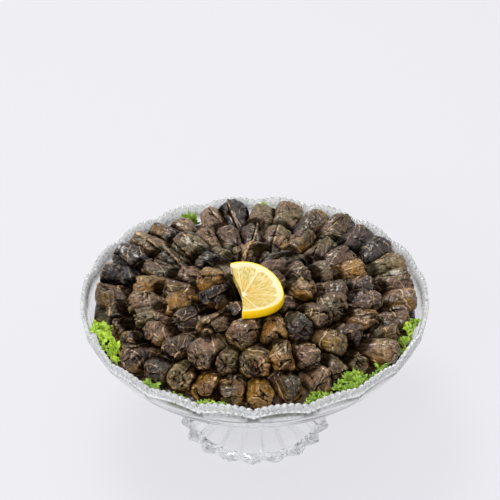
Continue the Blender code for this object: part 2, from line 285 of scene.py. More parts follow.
def store_values(mesh, limits=(0, 1), **values):
    """Keep a value within limits for each vertex under a name, for the material to read."""
    for name, value in values.items():
        layer = mesh.attributes.new(name, "FLOAT", "POINT")
        layer.data.foreach_set("value", np.clip(value, *limits).astype(np.float32).ravel())


# %% [markdown]
# ## The crystal bowl
#
# The bowl is pressed from one gob of glass: a mould gives the rim its twenty scallops of eight rounded
# teeth, a band of flutes with a row of small triangles at its lower edge, and the foot its eighteen petals.
# It could be cut from the plain solid, but the teeth need many more columns. So the wall is turned from a
# circle with six columns to a tooth, and each ring is then pressed to the mould's pattern.

# %% Profile of the wall
TEETH = 160
COLUMNS = TEETH * 6
TOOTH_ANGLE = math.tau / TEETH
TOOTH_DEPTH = 1.7
SCALLOP_ANGLE = math.tau / 20
SCALLOP_RISE = 4.2
BAND_TOP = 119.2
BAND_LOW = 112.2
BAND_ROWS = 8
FLOOR_RING = (12.0, 56.6)
UNDERSIDE_RING = (27.0, 48.2)

inside_wall = eased((FLOOR_RING, (36.0, 57.6), (66.0, 62.8), (88.0, 71.4), (105.5, 81.8), (118.5, 92.4),
                     (129.0, 104.0), (134.0, 113.0)), 2)
outside_wall = eased(((136.2, 108.4), (131.0, 100.6), (124.0, 92.4), (114.5, 83.2), (103.0, 74.2),
                      (89.0, 65.4), (72.0, 57.8), (50.0, 51.4), UNDERSIDE_RING), 2)

# Each ring of the wall: radius, height, share of the scallop's rise, share of the tooth's notch
rings = [(r, z, 0.3 * max(0.0, min(1.0, (z - 104) / 9)), 0.0) for r, z in inside_wall]
rings += [(135.2, 117.5, 0.65, 0.0), (136.4, 120.2, 1.0, 0.55), (136.9, 121.3, 1.0, 0.9),
          (137.8, 121.8, 1.0, 1.0), (138.8, 121.8, 1.0, 1.0), (139.6, 121.3, 1.0, 0.9),
          (140.0, 120.2, 1.0, 0.55)]
band_first = len(rings) - 1
rings += [(140.0 - 1.4 * i / BAND_ROWS, BAND_TOP - (BAND_TOP - BAND_LOW) * i / BAND_ROWS, 1.0, 0.0)
          for i in range(BAND_ROWS + 1)]
band_last = len(rings) - 1
rings += [(137.7, 110.6, 0.6, 0.0)]
rings += [(r, z, 0.0, 0.0) for r, z in outside_wall]
print(len(rings), "rings of", COLUMNS, "columns")

# %% Turn the wall and press the rim
bowl = turn_form("crystal_bowl", COLUMNS, rings)
wall = places_of(bowl).reshape(len(rings), COLUMNS, 3)
angles = np.arctan2(wall[:, :, 1], wall[:, :, 0])
radii = np.hypot(wall[:, :, 0], wall[:, :, 1]) / MM
heights = wall[:, :, 2] / MM
across_scallop = 2 * ((angles / SCALLOP_ANGLE) % 1.0) - 1
across_tooth = 2 * np.abs(((angles / TOOTH_ANGLE) % 1.0) - 0.5)
shares = np.array([ring[2:] for ring in rings])
heights += SCALLOP_RISE * (1 - across_scallop ** 2) * shares[:, :1]
heights -= TOOTH_DEPTH * across_tooth ** 1.7 * shares[:, 1:]

# Below each tooth the outside carries a flute, and a triangle with its point up at the band's lower edge
FLUTE_DEPTH = 1.0
TRIANGLE_DEPTH = 0.8
TRIANGLE_HALF_WIDTH = 0.95
TRIANGLE_START = 0.35
band = slice(band_first, band_last + 1)
down = np.arange(BAND_ROWS + 2)[:, None] / (BAND_ROWS + 1)
triangle_reach = TRIANGLE_HALF_WIDTH * np.maximum(0.0, down - TRIANGLE_START) / (1 - TRIANGLE_START)
in_triangle = triangle_reach - across_tooth[band]
triangle_fade = np.sin(math.pi * np.minimum(1.0, down * 1.05)) ** 0.5
radii[band] -= FLUTE_DEPTH * across_tooth[band] ** 1.5 * (1 - 0.75 * down)
radii[band] -= TRIANGLE_DEPTH * np.clip(in_triangle / 0.3, 0, 1) * triangle_fade
set_places(bowl, np.stack((radii * np.cos(angles), radii * np.sin(angles), heights), axis=2) * MM)

# The mould left the teeth and the band matt, the triangles most of all. The ledge below takes a painted tint
# of the heap seen through it
frost = np.zeros(radii.shape)
frost[len(inside_wall):band_last + 1] = 0.6
frost[band_first:band_last] += 0.7 * np.clip(in_triangle[:-1] / 0.25, 0, 1)
ledge = np.zeros(radii.shape)
ledge[band_last:band_last + 2] = 1.0
store_values(bowl.data, frost=frost, ledge=ledge)
print("rim up to", round(heights.max(), 1), "mm high, radius", round(radii.max(), 1), "mm")

# %% [markdown]
# ## The foot
#
# Under the bowl a short stem flares into eighteen flat petals with a groove between each two. Below the
# flat panel a petal has a small chin and a pointed tip that lies on the table. A petal is not round, so
# each ring of the turned foot is pressed flat across each petal, and pressed to a point near the table.

# %% Turn the foot and press the petals
PETALS = 18
PETAL_COLUMNS = 12
FIRST_TIP = math.radians(-92.4)
# Where the groove beside a petal starts and how wide it is, as shares of the petal's turn
GROOVE_START = 0.36
GROOVE_WIDTH = 0.14
# Radius at a petal's middle, radius in the groove, height, and how far the petal is pointed instead of flat
foot_rings = ((26.6, 26.4, 46.6, 0.0), (25.4, 24.8, 44.0, 0.0), (25.8, 25.0, 40.0, 0.0),
              (26.6, 25.6, 36.0, 0.0), (28.2, 27.0, 31.6, 0.0), (30.4, 29.0, 27.6, 0.0),
              (33.2, 31.6, 23.8, 0.0), (36.8, 35.0, 20.2, 0.0), (41.2, 39.2, 16.9, 0.0),
              (46.4, 44.2, 13.8, 0.0), (51.6, 49.2, 11.0, 0.0), (56.6, 53.6, 8.4, 0.1),
              (58.8, 54.6, 6.6, 0.5), (61.2, 55.4, 3.4, 1.0), (61.8, 55.8, 2.2, 1.0),
              (61.6, 55.8, 0.6, 1.0), (61.0, 55.4, 0.0, 1.0), (48.0, 48.0, 0.0, 0.0),
              (46.0, 46.0, 2.0, 0.0), (43.0, 43.0, 4.4, 0.0), (33.0, 33.0, 10.4, 0.0),
              (24.0, 24.0, 17.2, 0.0), (15.0, 15.0, 24.6, 0.0))
foot = turn_form("foot", PETALS * PETAL_COLUMNS, [(ring[0], ring[2]) for ring in foot_rings], cap_last=True)
petals = places_of(foot).reshape(len(foot_rings), -1, 3)
middle, groove, _, pointed = np.array(foot_rings).T[:, :, None]
angle = np.arctan2(petals[:, :, 1], petals[:, :, 0])
off = ((angle - FIRST_TIP) / math.tau * PETALS + 0.5) % 1.0 - 0.5
edge = np.clip((np.abs(off) - GROOVE_START) / GROOVE_WIDTH, 0, 1)
flat = middle / np.cos(off * math.tau / PETALS) * (1 - edge) + groove * edge
point = groove + (middle - groove) * (1 - 2 * np.abs(off)) ** 0.9
radius = flat * (1 - pointed) + point * pointed
petals[:, :, 0] = radius * MM * np.cos(angle)
petals[:, :, 1] = radius * MM * np.sin(angle)
set_places(foot, petals)
store_values(foot.data, frost=0.35 * edge + 0.5 * pointed, ledge=0 * edge)
print("foot is", round(2 * radius.max(), 1), "mm across")

# %% Close the floor of the bowl and bridge bowl and foot
join_pieces([bowl, foot], "crystal_bowl")
with editing(bowl, "VERT", on_rings(FLOOR_RING)):
    bpy.ops.mesh.edge_face_add()
    bpy.ops.mesh.poke()
with editing(bowl, "VERT", on_rings(UNDERSIDE_RING, (foot_rings[0][0], foot_rings[0][2]))):
    bpy.ops.mesh.bridge_edge_loops()
face_outwards(bowl)
smooth_below(bowl, 24)
print("bowl has", len(bowl.data.polygons), "faces")

# %% [markdown]
# ## Crystal
#
# Pressed lead crystal is clear and bends light strongly, so it is almost all edges: pale where light passes
# and thin dark lines where it turns back inside the glass. Roughness is near nought, and a faint waviness of
# a few hundredths of a millimetre is what the mould leaves. The teeth and the band are frosted, and their
# glitter is painted on them as small dark specks, which one noise draws. The green heap seen through the
# glass is painted as an uneven tint on the ledge below.

# %% Crystal material
crystal, tree = new_material("pressed crystal glass")
coords = node(tree, "TexCoord")
frost, ledge = [node(tree, "Attribute", attribute_name=name) for name in ("frost", "ledge")]
waves = node(tree, "TexNoise", {"Vector": coords, "Scale": 160.0, "Detail": 2.0})
bump = node(tree, "Bump", {"Height": waves, "Strength": 0.25, "Distance": 0.0002})
matt = node(tree, "MapRange", {"Value": frost, "To Min": 0.02, "To Max": 0.14})
clear = node(tree, "MapRange", {"Value": frost, "To Min": 1.0, "To Max": 0.3})

# Painted glint specks under 2 mm wide, and patches of painted refraction tint about 45 mm long
specks = node(tree, "TexNoise", {"Vector": coords, "Scale": 560.0, "Detail": 1.0})
speck_part = node(tree, "MapRange", {"Value": specks, "From Min": 0.57, "From Max": 0.66})
painted_glints = node(tree, "Math", {0: speck_part, 1: frost}, operation="MULTIPLY")
cut = node(tree, "Mix", {0: painted_glints, 6: "#feffff", 7: "#868c90"}, data_type="RGBA")
around_ledge = node(tree, "TexNoise", {"Vector": coords, "Scale": 22.0, "Detail": 2.0})
ledge_part = node(tree, "MapRange", {"Value": around_ledge, "From Min": 0.35, "From Max": 0.6, "To Min": 0.4,
                                     "To Max": 0.95})
painted_refraction_tint = node(tree, "Math", {0: ledge, 1: ledge_part}, operation="MULTIPLY")
refraction_tinted = node(tree, "Mix", {0: painted_refraction_tint, 6: cut, 7: "#37441a"}, data_type="RGBA")
glass = node(tree, "BsdfPrincipled", {"Base Color": refraction_tinted, "IOR": 1.52, "Roughness": matt,
                                      "Transmission Weight": clear, "Normal": bump})
node(tree, "OutputMaterial", {"Surface": glass})
bowl.data.materials.append(crystal)
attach(bowl, "root")
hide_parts("glass_bowl")

# %% [markdown]
# ## Where the rolls lie
#
# The rolls lie in four rings like spokes, with a few on top, flatter and further apart at the back. Their
# places follow the same rule and the same seeded draws as the solids, so each leaf lies exactly where its
# solid is. The rolls under the lemon are let down or lifted a little, so that the slice rests on them.

# %% The lemon's form, which the rolls make room for
LEMON_CORE = Vector((-9.0, -33.0, 149.5))
LEMON_RADIUS = 33.0
LEMON_THICKNESS = 7.0
LEMON_ROOM = 0.8
MOST_LIFT = 5.0
BACK_SLOPE = math.tan(math.radians(25))
FRONT_SLOPE = math.tan(math.radians(15))
FOLD_WIDTH = 8.0


def fold_rise(across):
    """How high the slice has risen at a distance across its fold."""
    slope = BACK_SLOPE if across > 0 else FRONT_SLOPE
    return slope * (math.hypot(across, FOLD_WIDTH) - FOLD_WIDTH)


def roll_frame(direction):
    """Unit vectors along a roll, across it and up from it."""
    axis = direction.normalized()
    side = axis.cross(Vector((0, 0, 1))).normalized()
    return axis, side, side.cross(axis)


def room_under_lemon(start, direction, length, radius):
    """How far a roll moves so that the slice rests just above it."""
    axis, side, up = roll_frame(direction)
    gaps = []
    for step in range(6):
        for turn in range(-75, 76, 15):
            out = side * math.sin(math.radians(turn)) + up * math.cos(math.radians(turn))
            point = start + axis * (length * step / 5) + out * radius * 1.06
            along, across = point.x - LEMON_CORE.x, point.y - LEMON_CORE.y
            if math.hypot(along, across) < LEMON_RADIUS + LEMON_ROOM and along > -LEMON_RADIUS / 3:
                underside = LEMON_CORE.z + fold_rise(across) - LEMON_THICKNESS / 2 - LEMON_ROOM
                gaps.append(underside - point.z)
    return min(MOST_LIFT, *gaps) if gaps else 0.0


# %% Places of all rolls
ROLL_LENGTH = 40.0
ROLL_RADIUS = 11.2
# How many rolls a ring has, and the radius and height at which they end
RINGS = ((33, 128.5, 122.5), (26, 100.5, 128.5), (18, 74.0, 134.5), (11, 48.0, 138.0))
LEFT_ROOM = 3.0
BACK_SHIFTS = (0.0, 10.0, 18.0, 14.0)
BACK_DROPS = (0.0, 3.0, 5.0, 5.0)
BACK_LIFT_LESS = 0.55
BACK_LENGTH_MORE = 0.15
TOP_ROLLS = ((-19.0, 4.0, 141.0, 1.9), (4.0, -5.0, 142.5, 0.1), (21.0, 16.0, 141.0, 0.7),
             (-2.0, 27.0, 140.0, 1.3))
# Each tuft of lettuce: its middle and width in degrees, its height in millimetres and its layers
LEAVES = (("leaf_left", 201, 24, 15.0, 2), ("leaf_front_left", 232, 8, 12.0, 1),
          ("leaf_front_small", 244, 7, 11.0, 1), ("leaf_front", 256, 13, 12.0, 1),
          ("leaf_front_right", 293, 12, 13.0, 1), ("leaf_right_front", 307, 15, 14.0, 2),
          ("leaf_right_small", 320, 9, 12.0, 1), ("leaf_right", 343, 20, 15.0, 1),
          ("leaf_back_left", 116, 7, 15.0, 1), ("leaf_back", 87, 7, 16.0, 1))
ROOM_FOR_LAYERS = {1: 6.0, 2: 10.5}


def leaf_push(angle):
    """How far an outer roll is pushed in where a leaf stands before it."""
    push = 0.0
    for _, middle, width, _, layers in LEAVES:
        apart = abs((math.degrees(angle) - middle + 180) % 360 - 180)
        if apart < width / 2 + 3:
            push = max(push, ROOM_FOR_LAYERS[layers])
    return push


def squash_of(rng):
    """How wide and how high a roll is for its radius; four more draws keep the order of the solids."""
    squash = (rng.uniform(0.98, 1.1), rng.uniform(0.88, 1.0))
    for _ in range(4):
        rng.uniform(0.96, 1.04)
    return squash


def plan_rolls():
    """The outer end, direction, length, radius and squash of every roll."""
    rng = random.Random(7)
    rolls = []
    for number, (count, end_radius, height) in enumerate(RINGS):
        for i in range(count):
            angle = math.tau * (i + 0.5 * (number % 2) + rng.uniform(-0.12, 0.12)) / count
            back = math.sqrt(max(0.0, math.sin(angle)))
            reach = end_radius - BACK_SHIFTS[number] * back + rng.uniform(-1.5, 1.5)
            if number == 0:
                reach -= leaf_push(angle) + LEFT_ROOM * max(0.0, -math.cos(angle)) ** 2
            lift = math.radians(rng.uniform(11, 25)) * (1 - BACK_LIFT_LESS * back)
            swing = angle + math.radians(rng.uniform(-12, 12))
            rise = rng.uniform(-2.2, 2.2) - BACK_DROPS[number] * back
            end = Vector((reach * math.cos(angle), reach * math.sin(angle), height + rise))
            inwards = Vector((-math.cos(swing), -math.sin(swing), -math.tan(lift)))
            length = ROLL_LENGTH * rng.uniform(0.88, 1.08) * (1 + BACK_LENGTH_MORE * back)
            radius = ROLL_RADIUS * rng.uniform(0.9, 1.1)
            end.z += room_under_lemon(end, inwards, length, radius)
            rolls.append((end, inwards, length, radius, squash_of(rng)))
    for x, y, height, heading in TOP_ROLLS:
        along = Vector((math.cos(heading), math.sin(heading), 0.0))
        end = Vector((x, y, height)) - along * ROLL_LENGTH / 2
        end.z += room_under_lemon(end, along, ROLL_LENGTH, ROLL_RADIUS)
        rolls.append((end, along, ROLL_LENGTH, ROLL_RADIUS, squash_of(rng)))
    return rolls


rolls = plan_rolls()
print(len(rolls), "rolls")

# %% [markdown]
# ## One roll
#
# A dolma is a spoon of rice on a blanched leaf: the leaf's sides are folded over its ends and it is rolled
# up. The blank is a cylinder with rings cut along its length and many insets in the end that faces out.
# Every roll is a copy of it with its own mesh. What makes it a leaf is worked in afterwards, as a sculptor
# would: flats where it was pressed, the steps where the leaf's lobes end, long pleats, and an end that is
# coiled, folded or open.

# %% The blank of a roll
BLANK_COLUMNS = 72
BLANK_CUTS = 42
OUTER_INSETS = 16
INNER_INSETS = 3


def upright_edges(item):
    """A test for the edges that run from the bottom to the top of a blank one unit high."""
    heights = [vertex.co.z for vertex in item.data.vertices]
    return lambda edge: abs(heights[edge.vertices[0]] - heights[edge.vertices[1]]) > 0.5


bpy.ops.object.select_all(action="DESELECT")
bpy.ops.mesh.primitive_cylinder_add(vertices=BLANK_COLUMNS, radius=1.0, depth=1.0, end_fill_type="NGON")
blank = bpy.context.object
with editing(blank, "EDGE", upright_edges(blank)):
    bpy.ops.mesh.subdivide(number_cuts=BLANK_CUTS)
for outwards, insets in ((-1, OUTER_INSETS), (1, INNER_INSETS)):
    with editing(blank, "FACE", lambda face: face.normal.z * outwards > 0.9):
        for _ in range(insets):
            bpy.ops.mesh.inset(thickness=0.96 / (insets + 1))
        bpy.ops.mesh.poke()

# The rings lie closer near the outer end and the columns closer on the upper side, where a roll is seen
blank_places = places_of(blank)
blank_along = np.clip(blank_places[:, 2] + 0.5, 0.0, 1.0) ** 1.25
blank_spread = np.minimum(1.0, np.hypot(blank_places[:, 0], blank_places[:, 1]))
from_top = np.arctan2(-blank_places[:, 0], blank_places[:, 1])
blank_turn = from_top - 0.35 * np.sin(from_top) + math.pi / 2
print("blank has", len(blank.data.vertices), "points")


# %% Sculpting: noise at many points, steps and lines
def field(points, sizes, seed):
    """Smooth noise from about -0.7 to 0.7 at many points; sizes are its patches' widths in millimetres."""
    return np.array([noise.noise(p) for p in (points / sizes + seed).tolist()])


def past_edge(distance, width):
    """0 before an edge and 1 past it."""
    return np.clip(distance / width, 0.0, 1.0)


def line_at(distance, width):
    """1 on an edge, falling to 0 at a width on both sides."""
    return np.clip(1 - np.abs(distance) / width, 0.0, 1.0)


# %% Sculpting: the ends, each as its height, how far a place lies behind a leaf's edge, and its painted shadows
FAR = 9.0


def coiled_end(x, y, wobble):
    """The leaf seen end on: a coil of layers, each step a leaf edge with a painted shadow under it."""
    layer = (np.hypot(x, 0.8 * y) / 4.5 + np.arctan2(y, x) / math.tau + 0.9 * wobble) % 1.0
    edge = np.where(wobble > -0.1, 4.5 * (0.93 - layer), FAR)
    return 2.2 * (layer - 0.55), edge, line_at(layer - 0.08, 0.14)


def puckered_end(x, y, wobble, count):
    """The leaf gathered to a point by folds that run in from the side."""
    distance = np.hypot(x, y)
    fold = np.abs(np.sin(0.5 * count * np.arctan2(y, x) + 2.5 * wobble))
    outwards = np.minimum(1.0, distance / 5)
    height = (2.0 * fold - 1.2) * outwards - 2.4 * np.exp(-(distance / 2.6) ** 2)
    # The third value is painted shade in the fold grooves and in the hollow at the middle
    return height, 8 * (0.9 - fold), np.maximum((1 - fold) ** 4 * outwards, line_at(distance, 2.5))


def nested_end(x, y, radius, wobble, heading):
    """A loose leaf that stands open round a smaller bundle, with a hollow in painted shade between them."""
    offset = 0.26 * radius
    distance = np.hypot(x - offset * math.cos(heading), y - offset * math.sin(heading)) / (0.6 * radius)
    inside = past_edge(1.0 - distance - 0.08 * wobble, 0.1)
    slit = line_at(x * math.sin(heading) - y * math.cos(heading) + 1.5 * wobble, 0.7) * inside
    height = inside * (0.6 - 0.9 * distance ** 2 - 0.9 * slit) - 4.6 * (1 - inside)
    return height, (0.93 - distance) * 0.6 * radius, np.maximum(1 - inside, 0.8 * slit)


def folded_end(x, y, radius, wobble, rng):
    """Flaps folded over each other like an envelope, every one a little above the last."""
    height = -1.0 + 0.8 * wobble
    edge = np.full(len(x), FAR)
    painted_shadow = np.zeros(len(x))
    first_heading = rng.uniform(0, math.tau)
    for number in range(4):
        heading = first_heading + number * 2.3 + rng.uniform(-0.5, 0.5)
        reach = rng.uniform(-0.25, 0.5) * radius
        bow = rng.uniform(-0.045, 0.03)
        ahead = x * math.cos(heading) + y * math.sin(heading)
        beside = y * math.cos(heading) - x * math.sin(heading)
        past = ahead - reach + bow * beside ** 2 + 1.3 * wobble
        covered = past_edge(past, 0.5)
        height = height * (1 - covered) + (0.75 * number - 0.6 - 0.16 * past + 0.5 * wobble) * covered
        edge = np.where(past > -1.0, past, edge)
        # Painted shadow on the layer below, just outside each flap's edge
        painted_shadow = np.maximum(painted_shadow * (1 - covered), line_at(past + 0.6, 0.9))
    return height, edge, painted_shadow


def end_relief(kind, x, y, radius, seed, rng):
    """The chosen kind of end."""
    wobble = field(np.stack((x, y, 0 * x), axis=1), 5.0, seed)
    if kind == "coil":
        return coiled_end(x, y, wobble)
    if kind == "pucker":
        return puckered_end(x, y, wobble, rng.randint(6, 10))
    if kind == "nest":
        return nested_end(x, y, radius, wobble, rng.uniform(0, math.tau))
    return folded_end(x, y, radius, wobble, rng)


# %% Sculpting: thickness along a roll, contact with its neighbours for painted shade, and the leaf's own map
# How far away a neighbour can be and still paint shade on a roll, and from which gap on it does, in
# millimetres
NEIGHBOUR_REACH = 60
CONTACT_REACH = 3.9
# The share of its radius at which a neighbour's skin is met, and how steeply the painted contact shade
# darkens
CONTACT_SHARE = 0.93
CONTACT_SHADE_POWER = 2.7


def swell_at(along):
    """How thick the roll is along its length: a round shoulder, fullest in its outer half."""
    outer = 1 - np.minimum(1.0, along / 0.13)
    inner = np.minimum(1.0, (1 - along) / 0.2)
    return ((0.68 + 0.32 * np.sqrt(1 - outer ** 2)) * (0.66 + 0.34 * np.sin(math.pi / 2 * inner))
            * (1 - 0.2 * (along - 0.4) ** 2))


def contact_with_others(points, own):
    """How near points in millimetres are to the other rolls: 1 where they touch, 0 out of reach."""
    nearest = np.full(len(points), FAR)
    middle = points.mean(axis=0)
    for other, (end, inwards, length, radius, _) in enumerate(rolls):
        axis = np.array(inwards.normalized())
        if other == own or np.linalg.norm(np.array(end) + axis * length / 2 - middle) > NEIGHBOUR_REACH:
            continue
        offset = points - np.array(end)
        beside = offset - np.clip(offset @ axis, 0, length)[:, None] * axis
        nearest = np.minimum(nearest, np.linalg.norm(beside, axis=1) - CONTACT_SHARE * radius)
    return np.clip(1 - nearest / CONTACT_REACH, 0, 1)


def map_leaf(mesh, uvs):
    """Store the leaf's own centimetres as a UV map."""
    while mesh.uv_layers:
        mesh.uv_layers.remove(mesh.uv_layers[0])
    layer = mesh.uv_layers.new(name="leaf")
    corners = np.empty(len(mesh.loops), dtype=np.int64)
    mesh.loops.foreach_get("vertex_index", corners)
    layer.data.foreach_set("uv", uvs[corners].astype(np.float32).ravel())


# %% Sculpting: a whole roll
EDGE_RANGE = 8.0
FLATS = 6
LOBES = 2


def sculpt_roll(number, look, rng):
    """One leaf roll at its place, with the masks that its material reads."""
    end, inwards, length, radius, (wide, high) = rolls[number]
    axis, side, up = [np.array(v) for v in roll_frame(inwards)]
    along, spread, turn = blank_along, blank_spread, blank_turn
    seed = rng.uniform(0, 100)
    around = 1.04 * radius * swell_at(along) * spread
    x, y, z = around * np.cos(turn), around * np.sin(turn), along * length

    # Flats where neighbours and fingers pressed it
    for _ in range(FLATS):
        heading = rng.uniform(-0.5, math.pi + 0.5)
        lean = rng.uniform(-0.25, 0.25)
        share = rng.uniform(0.84, 0.98)
        past = x * math.cos(heading) + y * math.sin(heading) + lean * (z - length / 2) - share * radius
        past = np.maximum(0.0, past)
        x = x - 0.85 * past * math.cos(heading)
        y = y - 0.85 * past * math.sin(heading)

    # Lumps of the filling, pleats that run along, creases that cross them and a fine grain
    local = np.stack((x, y, z), axis=1)
    slanted = np.stack((x + 0.5 * z, y - 0.4 * z, z), axis=1)
    lump = field(local, (9.0, 9.0, 15.0), seed)
    soft = field(local, (4.5, 4.5, 10.0), seed + 5)
    pleat = np.clip(1 - 5 * np.abs(field(local, (5.0, 5.0, 22.0), seed + 9)), 0, 1)
    crease = np.clip(1 - 7 * np.abs(field(slanted, (6.0, 6.0, 12.0), seed + 17)), 0, 1)
    fine = field(local, (1.7, 1.7, 3.0), seed + 23)
    relief = 0.6 * lump + 0.1 * soft + 0.45 * pleat - 0.5 * crease

    # Folds 7.5 mm apart across the leaf, in some places only
    heading = rng.uniform(0, math.tau)
    run, over = z + (1 - spread) * radius, (turn - math.pi / 2) * radius
    leaf_x = run * math.cos(heading) - over * math.sin(heading)
    leaf_y = run * math.sin(heading) + over * math.cos(heading)
    fold = np.abs(np.sin(math.pi * leaf_y / 7.5 + 1.7 * soft + 2.0 * lump))
    folded = past_edge(field(local, (10.0, 10.0, 14.0), seed + 31) + 0.12, 0.3)
    relief += 1.1 * (fold - 0.6) * folded

    # The seam, and lobes of the leaf that end aslant on it
    on_side = past_edge(spread - 0.8, 0.2)
    past_seam = ((turn - rng.uniform(-1.0, 2.0) - rng.uniform(-1.4, 1.4) * along) / math.tau) % 1.0
    relief += rng.uniform(0.8, 1.8) * (0.5 - past_seam) * on_side
    edge = np.where(spread > 0.95, ((past_seam + 0.5) % 1.0 - 0.5) * math.tau * radius, FAR)
    # Painted shadow lines beside the seam and below each lobe's edge
    painted_shadow = line_at(past_seam - 0.985, 0.02) * on_side
    for _ in range(LOBES):
        place = rng.uniform(0.02, 0.6) * length
        heading = rng.uniform(0, math.tau)
        slant = rng.uniform(0.3, 1.3)
        past = z - place - slant * radius * np.cos(turn - heading) + 2.0 * soft
        shown = past_edge(lump + rng.uniform(0.0, 0.3), 0.15) * on_side
        relief += 0.9 * past_edge(past, 0.8) * past_edge(12 - past, 10.0) * shown
        edge = np.where((shown > 0.5) & (np.abs(past) < 2.5), past, edge)
        painted_shadow = np.maximum(painted_shadow, 0.7 * line_at(past + 0.8, 0.9) * shown)

    # Push the surface out along its own direction
    outer, inner = np.maximum(0.0, 1 - along / 0.13), np.maximum(0.0, 1 - (1 - along) / 0.1)
    sideways = spread ** 2
    out = np.stack((np.cos(turn) * sideways, np.sin(turn) * sideways, 1.2 * inner - 1.2 * outer), axis=1)
    out /= np.maximum(1e-6, np.linalg.norm(out, axis=1))[:, None]
    local += out * relief[:, None]

    # The end that faces out
    stand, end_edge, end_painted_shadow = end_relief(look["end"], x, y, radius, seed, rng)
    at_end = (along < 0.001) * np.clip((1.02 - spread) / 0.16, 0, 1)
    round_lip = 0.55 + 0.45 * np.cos(turn - rng.uniform(0, math.tau))
    lip = look["lip"] * line_at(spread - 0.95, 0.12) * (along < 0.012) * round_lip
    local[:, 2] -= at_end * (stand + 1.6 * (1 - spread ** 2)) + lip
    edge = np.where(at_end > 0.5, end_edge, edge)
    edge = np.where((at_end > 0) & (lip > 0.5), (0.97 - spread) * radius, edge)
    painted_shadow = np.maximum(painted_shadow * (1 - at_end), end_painted_shadow * at_end)

    # Some leaves are torn, and the rice shows
    torn = np.hypot((along - rng.uniform(0.02, 0.5)) * length, (turn - rng.uniform(0.6, 2.5)) * radius)
    torn += 4.0 * soft + 2.0 * fine
    rice = look["torn"] * past_edge(rng.uniform(0.9, 2.0) - torn, 0.7)
    local[:, :2] *= (1 - 0.05 * rice * (1 - 0.8 * np.abs(fine)))[:, None]

    # The masks: painted shade in creases and where rolls touch, and a painted warmer gold towards the
    # underside
    world = np.array(end) + local[:, 2:] * axis + local[:, :1] * wide * side + local[:, 1:2] * high * up
    # Shade is painted where rolls touch, weaker on the roll's top
    painted_contact_shade = contact_with_others(world, number) * (1 - 0.45 * np.clip(local[:, 1] / radius, 0, 1))
    # Painted shade in creases, fold troughs and shadow lines, and painted light on bulges and pleats
    painted_shade = (0.66 + 0.4 * soft + 0.3 * pleat - 0.5 * crease + 0.1 * fine - 0.7 * painted_shadow
             - 0.45 * (1 - fold) ** 2 * folded)
    mesh = blank.data.copy()
    item = bpy.data.objects.new(f"roll_{number}", mesh)
    bpy.context.scene.collection.objects.link(item)
    set_places(item, world * MM)
    # The relief mask holds the painted shade; gold holds each roll's own golden tone plus a painted warm
    # underside
    store_values(mesh, relief=np.clip(painted_shade, 0, 1) * (1 - 0.99 * painted_contact_shade) ** CONTACT_SHADE_POWER, rice=rice,
                 leaf_edge=0.5 + edge / EDGE_RANGE, tone=np.full(len(world), look["tone"]),
                 gold=look["gold"] + 0.3 * (1 - local[:, 1] / radius) * on_side)
    map_leaf(mesh, np.stack((leaf_x + rng.uniform(-12, 12), leaf_y + rng.uniform(-9, 9)), axis=1) / 10)
    return item


# %% The look of each roll
SPECIAL_LOOKS = {
    # The open collar below the lemon, and other loose bundles
    73: {"end": "nest", "lip": 3.4, "gold": 0.75, "tone": 0.75},
    71: {"end": "nest", "lip": 2.6, "tone": 0.6}, 72: {"end": "fold", "tone": 0.7, "gold": 0.3},
    # Golden ones
    25: {"end": "fold", "tone": 0.8, "gold": 1.0}, 34: {"tone": 0.85, "gold": 1.0},
    69: {"tone": 0.7, "gold": 0.95}, 82: {"tone": 0.8, "gold": 0.85},
    53: {"end": "fold", "tone": 0.8, "gold": 0.6},
    # Torn ones
    18: {"torn": 1.0}, 61: {"torn": 1.0}, 28: {"torn": 1.0}}
# Nearly black ones, with their tone and gold
for number, tone, gold in ((78, 0.02, 0.0), (62, 0.1, 0.0), (63, 0.12, 0.0), (66, 0.05, 0.0),
                           (81, 0.05, 0.0), (14, 0.08, 0.0), (15, 0.02, 0.0), (9, 0.1, 0.0),
                           (70, 0.1, 0.1), (84, 0.15, 0.0), (4, 0.15, 0.1), (33, 0.15, 0.1)):
    SPECIAL_LOOKS[number] = {"tone": tone, "gold": gold}


def look_of(number, rng):
    """Kind of end, height of its lip, how light and how golden the leaf is, and whether it is torn."""
    look = {"end": rng.choice(("fold", "fold", "fold", "fold", "coil", "pucker", "nest")),
            "lip": rng.uniform(0.4, 2.2), "tone": rng.betavariate(2.2, 1.8),
            "gold": rng.uniform(0.0, 0.45) if rng.random() < 0.85 else rng.uniform(0.5, 0.9),
            "torn": float(rng.random() < 0.04)}
    look.update(SPECIAL_LOOKS.get(number, {}))
    return look


# %% Make and join the rolls, in pieces that stay under 200,000 triangles
sculptor = random.Random(11)
GROUPS = (("dolma_outer_left", 0, 17), ("dolma_outer_right", 17, 33), ("dolma_second_ring_back", 33, 46),
          ("dolma_second_ring_front", 46, 59), ("dolma_third_ring", 59, 77), ("dolma_top", 77, len(rolls)))
ring_pieces = []
for group, first, last in GROUPS:
    made = [sculpt_roll(number, look_of(number, sculptor), sculptor) for number in range(first, last)]
    piece = join_pieces(made, group)
    smooth_below(piece, 50)
    ring_pieces.append(piece)
    print(group, len(made), "rolls,", sum(len(f.vertices) - 2 for f in piece.data.polygons), "triangles")
bpy.data.objects.remove(blank, do_unlink=True)

# %% [markdown]
# ## The inside of the heap
#
# Below the top layer more rolls fill the bowl, and from the side they show through the glass as a wall of
# roll ends. They are one turned core: it follows the glass below and a low dome above, and its skin is
# pressed into rows of round ends, with shade painted in the gaps between them and over the rest of the core,
# least at the rim of the dome.

# %% Core of the heap
GLASS_GAP = 0.9
CORE_COLUMNS = 320
CORE_TOP = ((129.2, 107.6), (127.0, 111.0), (119.0, 114.0), (99.0, 117.0), (78.0, 122.0), (58.0, 127.0),
            (36.0, 130.5), (14.0, 132.5))
END_PITCH = 21.0
# Radius of the core at a run along its wall
RUNS, RUN_RADII = (0, 35, 70, 100, 125, 145), (14, 48, 80, 104, 120, 128)
# Painted shade: nearly black where no roll ends show, as deep in the heap
DEEPEST_PAINTED_SHADE = 0.02
